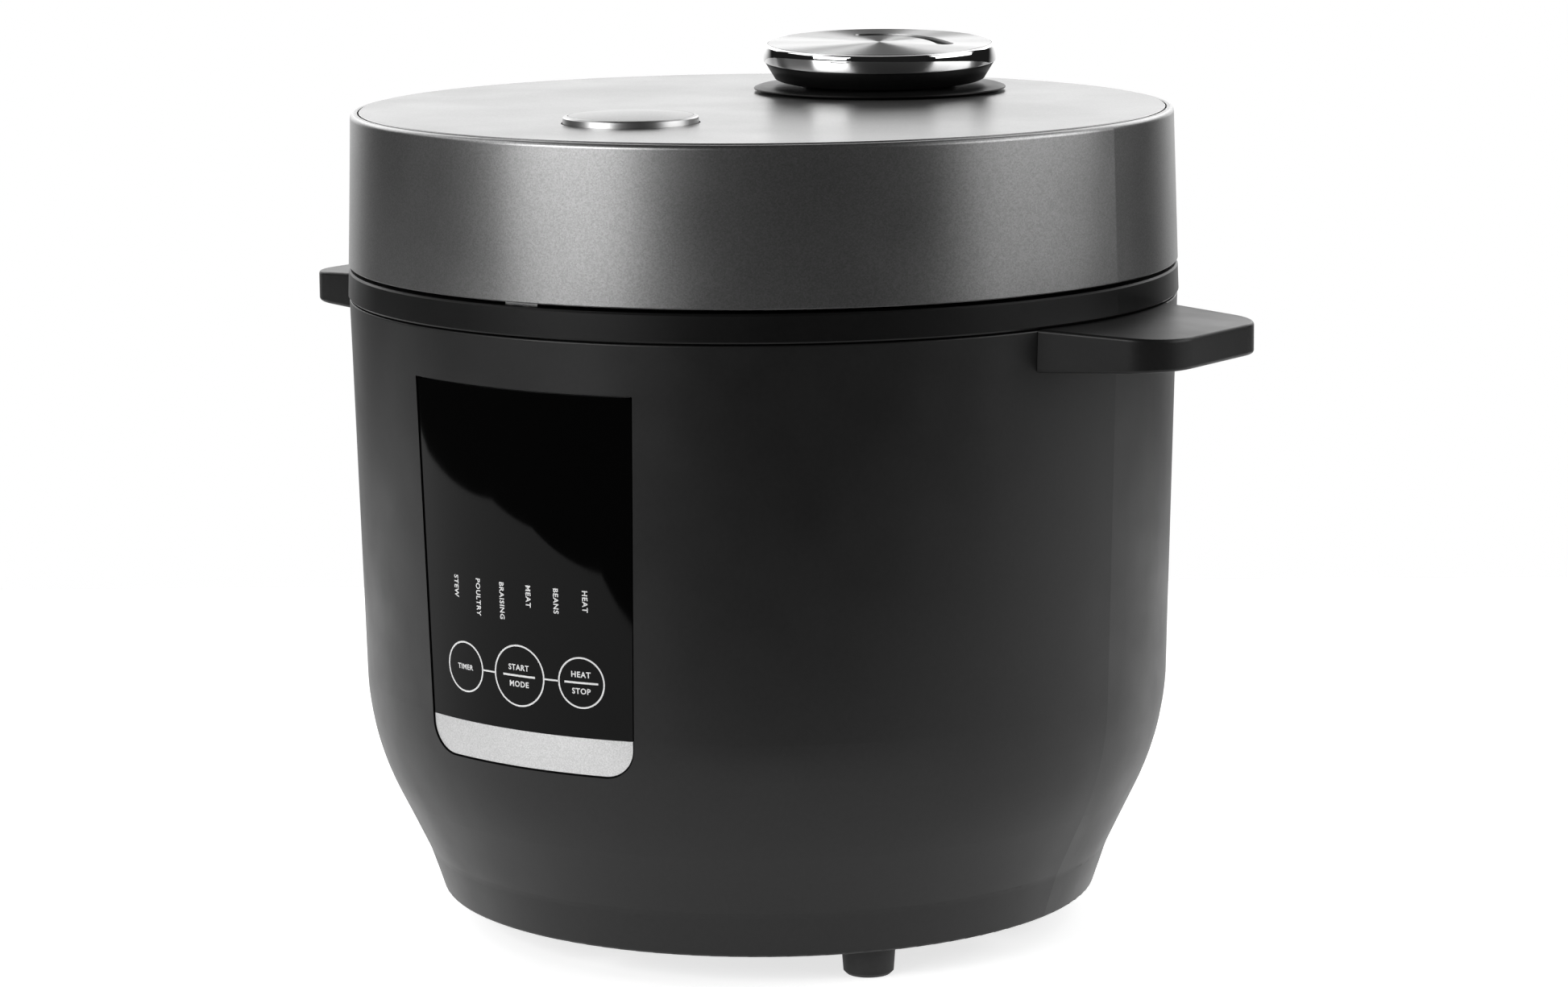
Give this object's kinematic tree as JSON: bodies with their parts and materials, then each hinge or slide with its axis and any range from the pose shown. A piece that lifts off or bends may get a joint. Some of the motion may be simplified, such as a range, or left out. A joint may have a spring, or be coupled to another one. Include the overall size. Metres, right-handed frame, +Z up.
{
  "type": "electric pressure cooker",
  "caption": "Drum-shaped electric pressure cooker with a hinged lid, push-button latch, rotary steam knob, glossy touch panel, side handles and rubber feet.",
  "frame": {"origin": "where the pot's upright axis meets the worktop, at the centre of the pattern of the feet", "axes": "+Z up, +X to the right handle as seen from the front, -Y towards the control panel"},
  "size_m": [0.2756, 0.2289, 0.2282],
  "materials": {
    "barrel_black": "fine matte, slightly satin",
    "trim_black": "satin moulded plastic",
    "rubber": "matte",
    "window_gloss": "gloss",
    "silver_trim": "silver under a clear gloss face",
    "inner_plastic": "matte",
    "circuit_board": "solder mask",
    "spring_steel": "drawn wire",
    "pot_aluminium": "spun",
    "steel": "zinc plated",
    "relay_plastic": "matte",
    "brass": "turned",
    "wire_cover": "silicone sleeve",
    "lid_grey": "fine metallic flake, satin",
    "silicone": "translucent white silicone",
    "chrome": "polished",
    "spun_metal": "radially spun",
    "float_red": "gloss"
  },
  "bodies": {
    "root": {"body_shell": "barrel_black", "collar_ring": "trim_black", "handle_left": "trim_black", "handle_right": "trim_black", "base_plate": "trim_black", "foot_front_left": "rubber", "foot_front_right": "rubber", "foot_rear_left": "rubber", "foot_rear_right": "rubber", "control_window": "window_gloss", "panel_trim": "silver_trim", "panel_carrier": "inner_plastic", "touch_board": "circuit_board", "display_module": "inner_plastic", "touch_springs": "spring_steel", "inner_pot": "pot_aluminium", "outer_pot": "steel", "heating_plate": "pot_aluminium", "heating_element": "steel", "heater_posts": "steel", "sensor_spring": "spring_steel", "pressure_switch": "relay_plastic", "thermal_fuse": "steel", "power_board": "circuit_board", "transformer": "relay_plastic", "relay": "relay_plastic", "inlet_pins": "brass", "power_inlet": "trim_black", "mains_wires": "wire_cover", "rear_cover": "trim_black", "hinge_bracket": "steel", "hinge_pin": "steel", "hinge_spring": "spring_steel", "case_screws": "steel"},
    "lid": {"lid_side_ring": "lid_grey", "lid_top_panel": "lid_grey", "lid_liner": "inner_plastic", "lid_frame": "steel", "hinge_block": "trim_black", "inner_lid_plate": "pot_aluminium", "sealing_ring": "silicone", "inner_lid_nut": "steel", "steam_pipe": "brass", "steam_guard": "steel", "knob_flange": "trim_black", "button_guide": "inner_plastic", "button_spring": "spring_steel", "latch_pin": "steel", "float_grommet": "silicone"},
    "knob": {"knob_grip": "trim_black", "knob_rim": "chrome", "knob_cap": "spun_metal"},
    "weight": {"pressure_weight": "steel"},
    "button": {"button_ring": "chrome", "button_cap": "lid_grey", "button_stem": "inner_plastic"},
    "latch": {"latch_hook": "steel"},
    "float": {"float_pin": "float_red"},
    "sensor": {"temperature_sensor": "steel"}
  },
  "joints": [
    {"name": "lid_hinge", "type": "hinge", "parent": "root", "child": "lid", "pos_m": [0, 0.1142, 0.172], "axis": [-1, 0, 0], "range_deg": [0, 80]},
    {"name": "steam_knob_turn", "type": "hinge", "parent": "lid", "child": "knob", "pos_m": [0, 0.0549, 0.217], "axis": [0.0263, -0.0369, 0.999], "range_deg": [0, 60]},
    {"name": "weight_lift", "type": "slide", "parent": "lid", "child": "weight", "axis": [0, 0, 1], "range_m": [0, 0.003]},
    {"name": "open_button_press", "type": "slide", "parent": "lid", "child": "button", "axis": [0, 0, -1], "range_m": [0, 0.003], "stiffness_N_per_m": 700, "springref_m": -0.0015, "deforming": ["button_spring"]},
    {"name": "latch_swing", "type": "hinge", "parent": "lid", "child": "latch", "pos_m": [0, -0.088, 0.186], "axis": [-1, 0, 0], "range_deg": [0, 6.1]},
    {"name": "float_valve_rise", "type": "slide", "parent": "lid", "child": "float", "axis": [0, 0, 1], "range_m": [0, 0.004]},
    {"name": "sensor_press", "type": "slide", "parent": "root", "child": "sensor", "axis": [0, 0, -1], "range_m": [0, 0.002], "stiffness_N_per_m": 500, "springref_m": -0.002, "deforming": ["sensor_spring"]}
  ],
  "couplings": [
    {"joint": "weight_lift", "follows": "steam_knob_turn", "m_per_rad": 0.002864},
    {"joint": "latch_swing", "follows": "open_button_press", "rad_per_m": 35}
  ]
}
